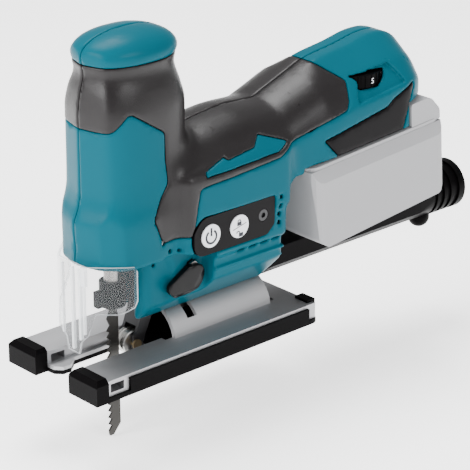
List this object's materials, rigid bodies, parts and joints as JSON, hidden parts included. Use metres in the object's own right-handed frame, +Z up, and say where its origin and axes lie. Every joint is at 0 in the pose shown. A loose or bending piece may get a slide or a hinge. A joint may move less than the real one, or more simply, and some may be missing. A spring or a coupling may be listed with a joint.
{
  "type": "jigsaw",
  "caption": "Cordless barrel-grip jigsaw with a bevelling shoe, blade and roller guide, lifting clear cover, speed dial, sliding battery pack and rear dust nozzle.",
  "frame": {"origin": "middle of the underside of the sole, so the sole lies in the plane z = 0", "axes": "-X is the cutting direction, +Y the right-hand side of the tool, +Z up"},
  "size_m": [0.308, 0.076, 0.232],
  "materials": {
    "teal_plastic": "fine texture",
    "black_rubber": "soft touch",
    "black_plastic": "fine texture",
    "pale_plastic": "satin",
    "white_plastic": "gloss",
    "clear_plastic": "clear",
    "shoe_aluminium": "brushed",
    "frame_aluminium": "cast",
    "steel": "machined",
    "blade_steel": "ground",
    "bronze": "sintered",
    "copper": "enamelled",
    "circuit_board": "solder mask"
  },
  "bodies": {
    "housing": {"left_housing": "teal_plastic", "right_housing": "teal_plastic", "left_grip_overmould": "black_rubber", "right_grip_overmould": "black_rubber", "left_rear_pad": "black_rubber", "right_rear_pad": "black_rubber", "housing_screws": "steel", "gear_frame": "frame_aluminium", "gear_frame_screws": "steel", "lower_bush": "bronze", "upper_bush": "bronze", "gear_bearing": "steel", "motor_front_bearing": "steel", "motor_rear_bearing": "steel", "motor_stator": "steel", "stator_windings": "copper", "guide_pivot_pin": "steel", "control_panel": "black_plastic", "button_board": "circuit_board", "panel_screw": "steel", "dial_potentiometer": "black_plastic", "controller": "circuit_board", "battery_receiver": "black_plastic", "receiver_contacts": "copper", "work_light_lens": "clear_plastic", "bevel_bolt": "steel", "bevel_clamp_plate": "steel", "bevel_nut": "steel"},
    "plunger": {"plunger_rod": "steel", "yoke_plate": "steel", "blade_clamp": "steel", "blade": "blade_steel"},
    "clamp_collar": {"clamp_sleeve": "steel"},
    "gear": {"drive_gear": "steel", "crank_pin": "steel", "counterweight": "steel"},
    "motor_rotor": {"rotor": "steel", "motor_shaft": "steel", "cooling_fan": "black_plastic"},
    "blade_guide": {"guide_arm": "steel", "roller_pin": "steel"},
    "roller": {"guide_roller": "steel"},
    "pendulum_lever": {"orbit_lever": "black_plastic", "lever_shaft": "steel"},
    "shoe": {"shoe_plate": "shoe_aluminium", "shoe_cover": "black_plastic"},
    "cover": {"blade_cover": "clear_plastic"},
    "power_key": {"power_button": "white_plastic"},
    "lock_key": {"lock_button": "white_plastic"},
    "dial": {"speed_dial": "black_plastic"},
    "battery": {"battery_case": "pale_plastic", "battery_top": "pale_plastic", "battery_cells": "pale_plastic", "battery_screws": "steel"},
    "latch": {"battery_latch": "pale_plastic"},
    "nozzle": {"dust_nozzle": "black_plastic"}
  },
  "joints": [
    {"name": "blade_stroke", "type": "slide", "parent": "housing", "child": "plunger", "axis": [0, 0, 1], "range_m": [0, 0.026]},
    {"name": "clamp_release", "type": "hinge", "parent": "plunger", "child": "clamp_collar", "pos_m": [-0.0385, 0, 0.04], "axis": [0, 0, 1], "range_deg": [0, 60], "stiffness_Nm_per_rad": 0.05},
    {"name": "gear_spin", "type": "hinge", "parent": "housing", "child": "gear", "pos_m": [-0.02, 0, 0.106], "axis": [1, 0, 0], "continuous": true},
    {"name": "rotor_spin", "type": "hinge", "parent": "housing", "child": "motor_rotor", "pos_m": [0, 0, 0.08], "axis": [1, 0, 0], "continuous": true},
    {"name": "guide_swing", "type": "hinge", "parent": "housing", "child": "blade_guide", "pos_m": [-0.012, 0, 0.05], "axis": [0, 1, 0], "range_deg": [-2.5, 0]},
    {"name": "roller_spin", "type": "hinge", "parent": "blade_guide", "child": "roller", "pos_m": [-0.0276, 0, 0.009], "axis": [0, 1, 0], "continuous": true},
    {"name": "orbit_setting", "type": "hinge", "parent": "housing", "child": "pendulum_lever", "pos_m": [0, -0.022, 0.052], "axis": [0, 1, 0], "range_deg": [0, 50]},
    {"name": "bevel", "type": "hinge", "parent": "housing", "child": "shoe", "pos_m": [0.03, 0, 0.008], "axis": [1, 0, 0], "range_deg": [-45, 45]},
    {"name": "cover_lift", "type": "slide", "parent": "housing", "child": "cover", "axis": [0, 0, 1], "range_m": [0, 0.02]},
    {"name": "power_press", "type": "slide", "parent": "housing", "child": "power_key", "axis": [0, 1, 0], "range_m": [0, 0.0008], "stiffness_N_per_m": 2000},
    {"name": "lock_press", "type": "slide", "parent": "housing", "child": "lock_key", "axis": [0, 1, 0], "range_m": [0, 0.0008], "stiffness_N_per_m": 2000},
    {"name": "speed_setting", "type": "hinge", "parent": "housing", "child": "dial", "pos_m": [0.13, -0.0115, 0.1295], "axis": [0, 0, 1], "range_deg": [-240, 60]},
    {"name": "battery_slide", "type": "slide", "parent": "housing", "child": "battery", "axis": [0.9976, 0, 0.0698], "range_m": [0, 0.08]},
    {"name": "latch_press", "type": "slide", "parent": "battery", "child": "latch", "axis": [-0.9976, 0, -0.0698], "range_m": [0, 0.003], "stiffness_N_per_m": 1500},
    {"name": "nozzle_pull", "type": "slide", "parent": "housing", "child": "nozzle", "axis": [1, 0, 0], "range_m": [0, 0.04]}
  ],
  "couplings": [
    {"joint": "rotor_spin", "follows": "gear_spin", "ratio": -4.2}
  ]
}
